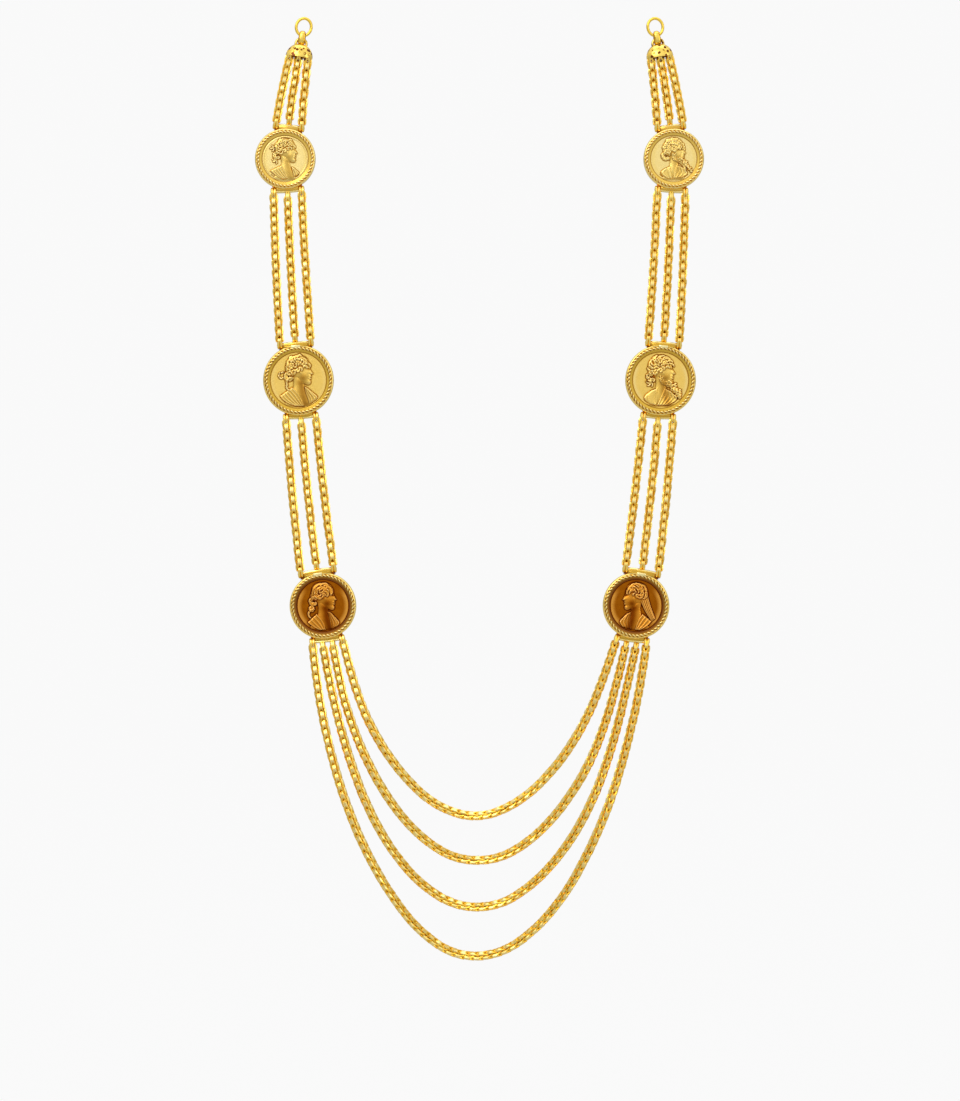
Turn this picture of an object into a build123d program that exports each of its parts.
from build123d import *

import os
from math import asin, cos, degrees, pi, radians, sin, sqrt, tan

# A necklace of six framed coins, three on each side, joined by rows of round linked chain.
# It hangs flat from two oval end rings. The front faces -Y, and the origin lies midway between the
# rings on the line that they hang from.

sides = {"left": -1, "right": 1}

# Chain, modelled at its outer diameter, with a wire loop at each end.
chain_diameter = 2.6
chain_loop_wire = 0.5
chain_clearance = 0.15
chain_overlap = 0.1
arc_share = 0.45

# End ring, an upright oval, and the line of ring, link and cap, which leans inward at the top.
ring_out = 52.4
ring_wire = 0.9
ring_inner_width = 3.6
ring_inner_height = 4.3
hang_lean = 8.8

# Link between the end ring and the cap's eye, seen edge-on from the front.
link_band = 1.2
link_thickness = 0.7
link_inner_width = 1.3
link_slack = 0.28
stack_gap = 0.1

# End cap, a hollow oval dome with a soldered eye on top and a pin for the chains inside.
cap_width = 8.1
cap_depth = 5.4
cap_height = 4.1
cap_wall = 0.4
cap_above = 0.15
eye_diameter = 4.0
eye_wire = 0.8
pin_diameter = 0.7
pin_height = 0.65
pin_spacing = 2.72
pit_radius = 0.3
# Rows of pits: height up the dome as a share of its height, and how many go round it.
pit_rows = [
    dict(height=0.30, count=14),
    dict(height=0.62, count=10),
    dict(height=0.86, count=6),
]

# Bezel, the frame of a coin: rim, rope border in front, sloping lip and back ledge.
rim_width = 2.1
seat_width = 1.2
seat_clearance = 0.08
rim_depth = 2.6
rim_edge = 0.45
rope_wire = 0.9
rope_inset = 1.15
rope_forward = 0.1
rope_pitch = 1.4
rope_groove_width = 0.28
rope_groove_depth = 0.2
rope_groove_length = 1.45
rope_slant = 42
lip_edge = 0.2

# Bar soldered to a bezel, slightly arched, with a plate below it and staples on its outer side.
bar_diameter = 1.0
bar_overhang = 0.8
bar_sag = 0.3
plate_inset = 1.45
plate_thickness = 0.9
plate_bite = 0.25
pad_width = 2.7
pad_thickness = 1.5
staple_wire = 0.4
staple_inner_width = 0.9
staple_inner_height = 0.8

# Coin blank and the heights of its raised work over the field.
coin_thickness = 1.4
relief_low = 0.28
relief_middle = 0.38
relief_high = 0.5
relief_reach = 0.94

# Each pair of coins: how far out and how high its middle lies, the radius of its bezel, and for its
# two bars the lean of the bar from straight above or below the middle (outward is positive), the
# rise of the bar's middle over the rim, the number of chains on it and their spacing.
coin_rows = {
    "upper": dict(
        out=58.25, height=-41.7, radius=9.1,
        top=dict(lean=-6.0, rise=0.9, chains=3, spacing=3.9),
        bottom=dict(lean=-4.0, rise=0.7, chains=3, spacing=4.2),
    ),
    "centre": dict(
        out=54.3, height=-108.1, radius=10.6,
        top=dict(lean=4.8, rise=0.65, chains=3, spacing=4.65),
        bottom=dict(lean=-3.7, rise=0.6, chains=3, spacing=4.5),
    ),
    "lower": dict(
        out=46.95, height=-175.7, radius=10.0,
        top=dict(lean=9.5, rise=0.7, chains=3, spacing=5.0),
        bottom=dict(lean=-7.0, rise=0.65, chains=4, spacing=3.0),
    ),
}

# Chains of a side: the coin above (none for the cap), the coin below, and how far the chain's
# middle bows outward from the straight line.
side_chains = {
    "upper": dict(above=None, below="upper", bow=0.4),
    "centre": dict(above="upper", below="centre", bow=0.4),
    "lower": dict(above="centre", below="lower", bow=0.5),
}
chain_places = ["inner", "middle", "outer"]

# Swag chains from left to right: the place on the bars, counted outward from the inner end, and the
# points of the route between the bars as (x, z).
swag_routes = {
    "first": dict(place=0, points=[
        (-37.8, -199.5), (-32.4, -212.7), (-24.7, -224.8), (-14.2, -235.4), (-1.0, -240.0),
        (12.0, -234.9), (22.7, -224.6), (30.6, -212.7), (36.5, -199.7),
    ]),
    "second": dict(place=1, points=[
        (-42.0, -198.7), (-38.4, -211.3), (-33.4, -223.2), (-26.9, -234.6), (-18.1, -245.0),
        (-6.9, -252.2), (6.1, -252.0), (17.3, -244.7), (26.1, -234.6), (32.9, -223.3),
        (37.7, -211.3), (41.2, -198.9),
    ]),
    "third": dict(place=2, points=[
        (-45.0, -198.8), (-41.9, -211.6), (-38.2, -224.2), (-33.4, -236.6), (-27.0, -248.3),
        (-18.4, -258.8), (-7.0, -266.2), (6.0, -266.0), (17.2, -258.5), (26.1, -248.2),
        (32.8, -236.7), (37.7, -224.5), (41.4, -211.8), (44.5, -199.0),
    ]),
    "fourth": dict(place=3, points=[
        (-48.8, -199.2), (-46.4, -212.3), (-43.2, -225.3), (-39.0, -238.0), (-33.7, -250.3),
        (-26.9, -262.1), (-18.5, -273.1), (-7.2, -281.0), (6.0, -280.6), (17.3, -272.6),
        (26.0, -261.9), (32.6, -250.0), (38.0, -237.8), (42.2, -225.0), (45.6, -212.1),
        (48.4, -199.0),
    ]),
}

# Raised bust in shares of the field's radius, facing right. The head is one unit from chin to crown
# in its own outline, placed by head_place and head_size.
head_place = (0.06, -0.12)
head_size = 1.02
cranium = dict(u=-0.07, v=0.60, half_width=0.38, half_height=0.37)
face_outline = [
    (0.06, 0.95), (0.26, 0.80), (0.31, 0.63), (0.30, 0.56), (0.41, 0.39), (0.33, 0.34), (0.35, 0.27),
    (0.33, 0.22), (0.34, 0.17), (0.31, 0.12), (0.33, 0.04), (0.23, -0.02), (0.04, 0.08), (-0.1, 0.4),
]
neck_outline = [(-0.24, 0.35), (0.12, 0.22), (0.14, -0.14), (0.24, -0.42), (-0.36, -0.42), (-0.24, -0.1)]
shoulder_outline = [
    (-0.72, -0.66), (-0.60, -0.50), (-0.20, -0.28), (0.28, -0.32), (0.66, -0.50), (0.76, -0.60),
    (0.40, -1.0), (-0.40, -1.0),
]

# Raised tufts, each row a run of rounded strokes along an arc, in shares of the field's radius:
# the arc's middle, radius and angles, the strokes' number, length and width, their turn from the
# arc's own direction and the height of the relief.
tuft_columns = ("u", "v", "radius", "start", "end", "count", "length", "width", "turn", "level")
coin_reliefs = {
    ("left", "upper"): dict(facing=1, tufts=[
        (0.0, 0.50, 0.34, 35, 200, 8, 0.20, 0.12, 60, "middle"),
        (0.0, 0.50, 0.20, 30, 230, 6, 0.16, 0.11, 40, "high"),
        (-0.36, 0.16, 0.10, 90, 330, 4, 0.18, 0.11, 90, "high"),
        (-0.40, -0.12, 0.14, 100, 200, 3, 0.16, 0.08, 20, "middle"),
        (0.10, -1.10, 0.62, 112, 150, 4, 0.26, 0.06, 60, "middle"),
    ]),
    ("right", "upper"): dict(facing=1, tufts=[
        (0.0, 0.50, 0.36, 10, 215, 10, 0.18, 0.14, 80, "middle"),
        (0.0, 0.50, 0.20, 10, 240, 6, 0.16, 0.13, 50, "high"),
        (-0.30, 0.10, 0.14, 60, 250, 4, 0.16, 0.13, 80, "high"),
        (0.16, 0.06, 0.24, 200, 320, 6, 0.22, 0.09, 80, "middle"),
        (0.34, -0.30, 0.20, 100, 200, 4, 0.26, 0.08, 0, "middle"),
    ]),
    ("left", "centre"): dict(facing=1, tufts=[
        (-0.04, 0.50, 0.36, 35, 215, 9, 0.18, 0.12, 70, "middle"),
        (-0.02, 0.50, 0.22, 20, 225, 7, 0.18, 0.10, 35, "high"),
        (-0.34, 0.12, 0.12, 70, 300, 5, 0.16, 0.12, 80, "high"),
        (-0.20, -0.14, 0.26, 130, 200, 4, 0.18, 0.08, 0, "middle"),
        (-0.10, -1.20, 0.74, 88, 130, 6, 0.30, 0.05, 55, "middle"),
    ]),
    ("right", "centre"): dict(facing=1, tufts=[
        (0.0, 0.50, 0.36, 30, 200, 9, 0.20, 0.10, 45, "high"),
        (-0.04, 0.46, 0.18, 0, 250, 6, 0.17, 0.11, 70, "middle"),
        (-0.32, 0.04, 0.16, 90, 260, 5, 0.18, 0.08, 60, "middle"),
        (0.20, 0.04, 0.24, 205, 325, 6, 0.20, 0.09, 80, "middle"),
        (0.46, -0.40, 0.18, 60, 170, 4, 0.26, 0.09, 10, "middle"),
    ]),
    ("left", "lower"): dict(facing=1, tufts=[
        (-0.04, 0.50, 0.36, 20, 190, 8, 0.24, 0.13, 10, "high"),
        (-0.06, 0.46, 0.20, 20, 210, 6, 0.18, 0.11, 40, "middle"),
        (-0.36, 0.16, 0.16, 90, 280, 5, 0.20, 0.10, 20, "middle"),
        (-0.24, -0.26, 0.30, 120, 190, 4, 0.24, 0.09, 0, "middle"),
        (-0.10, -1.20, 0.74, 92, 128, 4, 0.32, 0.06, 55, "middle"),
    ]),
    ("right", "lower"): dict(facing=-1, tufts=[
        (0.0, 0.50, 0.36, 30, 200, 9, 0.22, 0.12, 20, "high"),
        (-0.02, 0.48, 0.20, 30, 215, 6, 0.18, 0.10, 60, "middle"),
        (-0.08, 0.10, 0.38, 165, 215, 5, 0.22, 0.10, 20, "high"),
        (0.14, -0.30, 0.62, 165, 205, 6, 0.24, 0.10, 10, "high"),
        (-0.16, -1.20, 0.74, 70, 110, 4, 0.30, 0.06, 60, "middle"),
    ]),
}

front = Plane.XZ


# Hanging stack, measured down the leaning line from the end ring's inner top.
ring_bottom_inner = -ring_inner_height
link_inner_top = ring_bottom_inner + link_slack
eye_top = ring_bottom_inner - ring_wire - stack_gap
link_inner_bottom = eye_top - eye_wire - link_slack
cap_top = link_inner_bottom - link_thickness - cap_above
cap_bottom = cap_top - cap_height
pin_level = cap_bottom + pin_height


def hang_plane(side):
    """Front-facing plane of ring, link and cap, with local y up the leaning line."""
    lean = radians(hang_lean) * sides[side]
    across = (cos(lean), 0, sin(lean))
    return Plane(origin=(sides[side] * ring_out, 0, 0), x_dir=across, z_dir=(0, -1, 0))


def coin_middle(side, level):
    row = coin_rows[level]
    return Vector(sides[side] * row["out"], 0, row["height"])


def bar_plane(side, level, end):
    """Plane at the middle of a bar, with local x along the bar, outward, and y away from the coin."""
    row = coin_rows[level]
    bar = row[end]
    lean = radians(bar["lean"])
    up = 1 if end == "top" else -1
    away = Vector(sides[side] * sin(lean), 0, up * cos(lean))
    along = Vector(sides[side] * cos(lean), 0, -up * sin(lean))
    middle = coin_middle(side, level) + away * (row["radius"] + bar["rise"])
    return Plane(origin=middle, x_dir=along, z_dir=along.cross(away))


def bar_places(bar):
    """Places of the chains along a bar, from the inner end to the outer."""
    first = -(bar["chains"] - 1) / 2
    return [(first + i) * bar["spacing"] for i in range(bar["chains"])]


def bar_half_length(bar):
    return bar_places(bar)[-1] + bar_overhang


def arch_radius(bar):
    half = bar_half_length(bar)
    return (half**2 + bar_sag**2) / (2 * bar_sag)


def arch_drop(bar, place):
    """How far the arched bar lies below its middle at a place along it."""
    return arch_radius(bar) - sqrt(arch_radius(bar) ** 2 - place**2)


def is_outer_place(bar, index):
    return index in (0, bar["chains"] - 1)


loop_radius_on_bar = (bar_diameter + chain_loop_wire) / 2 + chain_clearance
loop_radius_on_pin = (pin_diameter + chain_loop_wire) / 2 + chain_clearance
loop_radius_in_staple = (staple_wire + chain_loop_wire) / 2 + 1.5 * chain_clearance
staple_loop_height = bar_diameter / 2 + chain_clearance + chain_loop_wire / 2 + loop_radius_in_staple


def bar_anchor(side, level, end, index):
    """Centre and radius of the loop by which a chain holds on to a bar."""
    bar = coin_rows[level][end]
    plane = bar_plane(side, level, end)
    place = bar_places(bar)[index]
    drop = arch_drop(bar, place)
    if is_outer_place(bar, index):
        return plane.from_local_coords(Vector(place, -drop, 0)), loop_radius_on_bar
    return plane.from_local_coords(Vector(place, staple_loop_height - drop, 0)), loop_radius_in_staple


def pin_anchor(side, index):
    """Centre and radius of the loop by which a chain holds on to the pin in the cap."""
    place = sides[side] * (index - 1) * pin_spacing
    return hang_plane(side).from_local_coords(Vector(place, pin_level, 0)), loop_radius_on_pin


def arc_radii(points):
    """Radius of the arc at each inner point, as large as its two runs allow."""
    radii = []
    for before, here, after in zip(points, points[1:], points[2:]):
        run_in = here - before
        run_out = after - here
        half_turn = radians(run_in.get_angle(run_out)) / 2
        radii.append(arc_share * min(run_in.length, run_out.length) / tan(half_turn))
    return radii


def make_chain(name, start, end, inner_points):
    """Chain solid between two anchors, each a loop centre and radius."""
    start_centre, start_radius = start
    end_centre, end_radius = end
    start_run = (inner_points[0] - start_centre).normalized()
    end_run = (inner_points[-1] - end_centre).normalized()
    first = start_centre + start_run * (start_radius + chain_overlap)
    last = end_centre + end_run * (end_radius + chain_overlap)
    points = [first, *inner_points, last]
    radii = arc_radii(points)
    print(f"{name}: arc radii {min(radii):.1f} to {max(radii):.1f} mm")
    with BuildPart() as chain:
        with BuildLine() as route:
            FilletPolyline(*points, radius=radii)
        with BuildSketch(Plane(origin=first, z_dir=start_run)):
            Circle(chain_diameter / 2)
        sweep(path=route.wires()[0])
        section = pi * chain_diameter**2 / 4
        length = route.wires()[0].length
        print(f"{name}: volume over section times length {chain.part.volume / (section * length):.4f}")
        loops = [(start_centre, start_radius, start_run), (end_centre, end_radius, end_run)]
        for centre, radius, run in loops:
            loop_axis = run.cross(Vector(0, 1, 0))
            with Locations(Plane(origin=centre, x_dir=run, z_dir=loop_axis)):
                Torus(radius, chain_loop_wire / 2)
    return finish(chain, name)


def finish(piece, name):
    piece.part.label = name
    export_step(piece.part, f"parts/{name}.step")
    return piece.part


def make_end_ring(side):
    plane = hang_plane(side)
    with BuildPart() as end_ring:
        with BuildLine(plane) as path:
            EllipticalCenterArc(
                (0, -ring_inner_height / 2),
                (ring_inner_width + ring_wire) / 2,
                (ring_inner_height + ring_wire) / 2,
                arc_size=360,
            )
        start = path.line @ 0
        with BuildSketch(Plane(origin=start, z_dir=path.line % 0)):
            Circle(ring_wire / 2)
        sweep(path=path.wires()[0])
    return finish(end_ring, f"end_ring_{side}")


def make_ring_link(side):
    plane = hang_plane(side)
    middle = plane.from_local_coords(Vector(0, (link_inner_top + link_inner_bottom) / 2, 0))
    edge_on = Plane(origin=middle, x_dir=(0, 1, 0), z_dir=plane.x_dir)
    inner_height = link_inner_top - link_inner_bottom
    bend = (link_inner_width + link_thickness) / 2
    straight = inner_height - link_inner_width
    with BuildPart() as ring_link:
        with BuildLine(edge_on) as path:
            Polyline((bend, -straight / 2), (bend, straight / 2))
            CenterArc((0, straight / 2), bend, 0, 180)
            Polyline((-bend, straight / 2), (-bend, -straight / 2))
            CenterArc((0, -straight / 2), bend, 180, 180)
        start = edge_on.from_local_coords(Vector(bend, -straight / 2, 0))
        with BuildSketch(Plane(origin=start, x_dir=edge_on.z_dir, z_dir=edge_on.y_dir)):
            Ellipse(link_band / 2, link_thickness / 2)
        sweep(path=path.wires()[0])
    return finish(ring_link, f"ring_link_{side}")


def dome_shape(width, depth, height):
    """Upper half of an ellipsoid, standing on the XY plane."""
    with BuildPart() as dome:
        Sphere(1, arc_size1=0, align=(Align.CENTER, Align.CENTER, Align.MIN))
        scale(by=(width / 2, depth / 2, height))
    return dome.part


def pit_places():
    """Places of the pits on the dome's outer face, over its base."""
    places = []
    for row in pit_rows:
        share = sqrt(1 - row["height"] ** 2)
        for i in range(row["count"]):
            turn = 2 * pi * (i + 0.5) / row["count"]
            x = cap_width / 2 * share * cos(turn)
            y = cap_depth / 2 * share * sin(turn)
            places.append((x, y, row["height"] * cap_height))
    return places


def make_end_cap(side):
    plane = hang_plane(side)
    base = plane.from_local_coords(Vector(0, cap_bottom, 0))
    upright = Plane(origin=base, x_dir=plane.x_dir, z_dir=plane.y_dir)
    inner_width = cap_width - 2 * cap_wall
    inner_depth = cap_depth - 2 * cap_wall
    eye_radius = (eye_diameter - eye_wire) / 2
    with BuildPart() as end_cap:
        with Locations(upright):
            add(dome_shape(cap_width, cap_depth, cap_height))
        with Locations(upright.offset(eye_top - eye_diameter / 2 - cap_bottom)):
            Torus(eye_radius, eye_wire / 2, rotation=(90, 0, 0))
        with Locations(upright):
            add(dome_shape(inner_width, inner_depth, cap_height - cap_wall), mode=Mode.SUBTRACT)
            with Locations(*pit_places()):
                Sphere(pit_radius, mode=Mode.SUBTRACT)
        pin_share = sqrt(1 - (pin_height / (cap_height - cap_wall)) ** 2)
        pin_length = inner_width * pin_share + cap_wall
        with Locations(upright.offset(pin_height)):
            Cylinder(pin_diameter / 2, pin_length, rotation=(0, 90, 0))
    return finish(end_cap, f"end_cap_{side}")


def bezel_ring(radius):
    """Rim, rope border, lip and ledge round the origin, with the coin's axis along Y."""
    seat_radius = radius - seat_width
    lip_radius = radius - rim_width
    rope_radius = radius - rope_inset
    seat_half = coin_thickness / 2 + seat_clearance
    half = rim_depth / 2
    with BuildPart() as ring:
        with BuildSketch(Plane.XY):
            with Locations(((seat_radius + radius) / 2, 0)):
                band = Rectangle(radius - seat_radius, rim_depth)
            fillet(band.vertices().group_by(Axis.X)[-1], rim_edge)
            Polygon(
                (lip_radius, -seat_half),
                (seat_radius, -seat_half),
                (seat_radius, -half),
                (lip_radius, -seat_half - lip_edge),
                align=None,
            )
            Polygon(
                (lip_radius, seat_half),
                (seat_radius, seat_half),
                (seat_radius, half),
                (lip_radius, half),
                align=None,
            )
            with Locations((rope_radius, -half - rope_forward)):
                Circle(rope_wire / 2)
        revolve(axis=Axis.Y)
        turns = round(2 * pi * rope_radius / rope_pitch)
        groove = (rope_groove_length, rope_groove_width, 2 * rope_groove_depth)
        with Locations(front.offset(half + rope_forward + rope_wire / 2)):
            with PolarLocations(rope_radius, turns):
                Box(*groove, rotation=(0, 0, rope_slant), mode=Mode.SUBTRACT)
    return ring.part


def bar_part(side, level, end):
    """Arched bar with rounded ends, and the plate and pad that join it to the rim."""
    row = coin_rows[level]
    bar = row[end]
    plane = bar_plane(side, level, end)
    half = bar_half_length(bar)
    half_angle = asin(half / arch_radius(bar))
    arch_middle = plane.from_local_coords(Vector(0, -arch_radius(bar), 0))
    bar_ends = [plane.from_local_coords(Vector(x, -bar_sag, 0)) for x in (-half, half)]
    arch_start = plane.x_dir * cos(half_angle) + plane.y_dir * sin(half_angle)
    plate_half = bar_places(bar)[-1] - plate_inset
    plate_reach = bar["rise"] + plate_half**2 / (2 * row["radius"]) + plate_bite
    pad_reach = bar["rise"] + 2 * plate_bite
    with BuildPart() as bar_and_plate:
        with BuildSketch(Plane(origin=bar_ends[0], x_dir=plane.z_dir, z_dir=arch_start)):
            Circle(bar_diameter / 2)
        revolve(axis=Axis(arch_middle, -plane.z_dir), revolution_arc=degrees(2 * half_angle))
        with Locations(*bar_ends):
            Sphere(bar_diameter / 2)
        for width, reach, thickness in (
            (2 * plate_half, plate_reach, plate_thickness),
            (pad_width, pad_reach, pad_thickness),
        ):
            with BuildSketch(plane):
                with Locations((0, -reach / 2)):
                    Rectangle(width, reach)
            extrude(amount=thickness / 2, both=True)
    return bar_and_plate.part


def staple_part(side, level, end, place):
    """Small wire arch on the outer side of a bar, for a chain between the outer two."""
    bar = coin_rows[level][end]
    plane = bar_plane(side, level, end)
    foot = -arch_drop(bar, place)
    bend = (staple_inner_width + staple_wire) / 2
    top = foot + bar_diameter / 2 + staple_inner_height - staple_inner_width / 2
    foot_point = plane.from_local_coords(Vector(place - bend, foot, 0))
    with BuildPart() as staple:
        with BuildLine(plane) as arch:
            Polyline((place - bend, foot), (place - bend, top))
            ThreePointArc((place - bend, top), (place, top + bend), (place + bend, top))
            Polyline((place + bend, top), (place + bend, foot))
        with BuildSketch(Plane(origin=foot_point, z_dir=plane.y_dir)):
            Circle(staple_wire / 2)
        sweep(path=arch.wires()[0])
    return staple.part


def make_bezel(side, level, ring):
    row = coin_rows[level]
    soldered = []
    for end in ("top", "bottom"):
        soldered.append(bar_part(side, level, end))
        for index, place in enumerate(bar_places(row[end])):
            if not is_outer_place(row[end], index):
                soldered.append(staple_part(side, level, end, place))
    with BuildPart() as bezel:
        with Locations(coin_middle(side, level)):
            add(ring)
        add(soldered)
    return finish(bezel, f"bezel_{side}_{level}")


def placed_points(points, facing, field):
    """Head outline points as sketch coordinates, mirrored for a head that faces left."""
    u0, v0 = head_place
    return [(facing * (u0 + head_size * u) * field, (v0 + head_size * v) * field) for u, v in points]


def tuft_places(tufts, level, facing, field):
    """Centre, length, width and angle of each raised stroke of one height."""
    places = []
    for values in tufts:
        row = dict(zip(tuft_columns, values))
        if row["level"] != level:
            continue
        step = (row["end"] - row["start"]) / (row["count"] - 1)
        for i in range(row["count"]):
            angle = row["start"] + i * step
            u = row["u"] + row["radius"] * cos(radians(angle))
            v = row["v"] + row["radius"] * sin(radians(angle))
            turn = angle + 90 + row["turn"]
            if facing < 0:
                turn = 180 - turn
            places.append((facing * u * field, v * field, row["length"] * field, row["width"] * field, turn))
    return places


def make_coin(side, level):
    look = coin_reliefs[(side, level)]
    facing = look["facing"]
    radius = coin_rows[level]["radius"]
    field = radius - rim_width
    face_middle = coin_middle(side, level) - Vector(0, coin_thickness / 2, 0)
    face = Plane(origin=face_middle, x_dir=(1, 0, 0), z_dir=(0, -1, 0))
    shoulders = [(facing * u * field, v * field) for u, v in shoulder_outline]
    head_middle = (cranium["u"], cranium["v"])
    head_reach = (cranium["half_width"] * head_size * field, cranium["half_height"] * head_size * field)
    with BuildPart() as coin:
        with BuildSketch(face):
            Circle(radius - seat_width - seat_clearance)
        extrude(amount=-coin_thickness)
        with BuildSketch(face):
            Circle(relief_reach * field)
            Polygon(*shoulders, align=None, mode=Mode.INTERSECT)
            Polygon(*placed_points(neck_outline, facing, field), align=None)
            Polygon(*placed_points(face_outline, facing, field), align=None)
            with Locations(*placed_points([head_middle], facing, field)):
                Ellipse(*head_reach)
        extrude(amount=relief_low)
        for name, height in (("middle", relief_middle), ("high", relief_high)):
            with BuildSketch(face):
                for x, y, length, width, turn in tuft_places(look["tufts"], name, facing, field):
                    with Locations(Location((x, y, 0), (0, 0, turn))):
                        Ellipse(length / 2, width / 2)
                Circle(relief_reach * field, mode=Mode.INTERSECT)
            extrude(amount=height)
    return finish(coin, f"coin_{side}_{level}")


os.makedirs("parts", exist_ok=True)
pieces = []

for side in sides:
    pieces.append(make_end_ring(side))
    pieces.append(make_ring_link(side))
    pieces.append(make_end_cap(side))

for level in coin_rows:
    ring = bezel_ring(coin_rows[level]["radius"])
    for side in sides:
        pieces.append(make_bezel(side, level, ring))
        pieces.append(make_coin(side, level))

for side in sides:
    for level, row in side_chains.items():
        for index, place in enumerate(chain_places):
            below = bar_anchor(side, row["below"], "top", index)
            if row["above"] is None:
                above = pin_anchor(side, index)
            else:
                above = bar_anchor(side, row["above"], "bottom", index)
            middle = (above[0] + below[0]) / 2 + Vector(sides[side] * row["bow"], 0, 0)
            pieces.append(make_chain(f"chain_{side}_{level}_{place}", above, below, [middle]))

for name, row in swag_routes.items():
    ends = [bar_anchor(side, "lower", "bottom", row["place"]) for side in sides]
    inner_points = [Vector(x, 0, z) for x, z in row["points"]]
    pieces.append(make_chain(f"swag_{name}", ends[0], ends[1], inner_points))

print(f"{len(pieces)} pieces, volume {sum(piece.volume for piece in pieces):.0f} mm3")
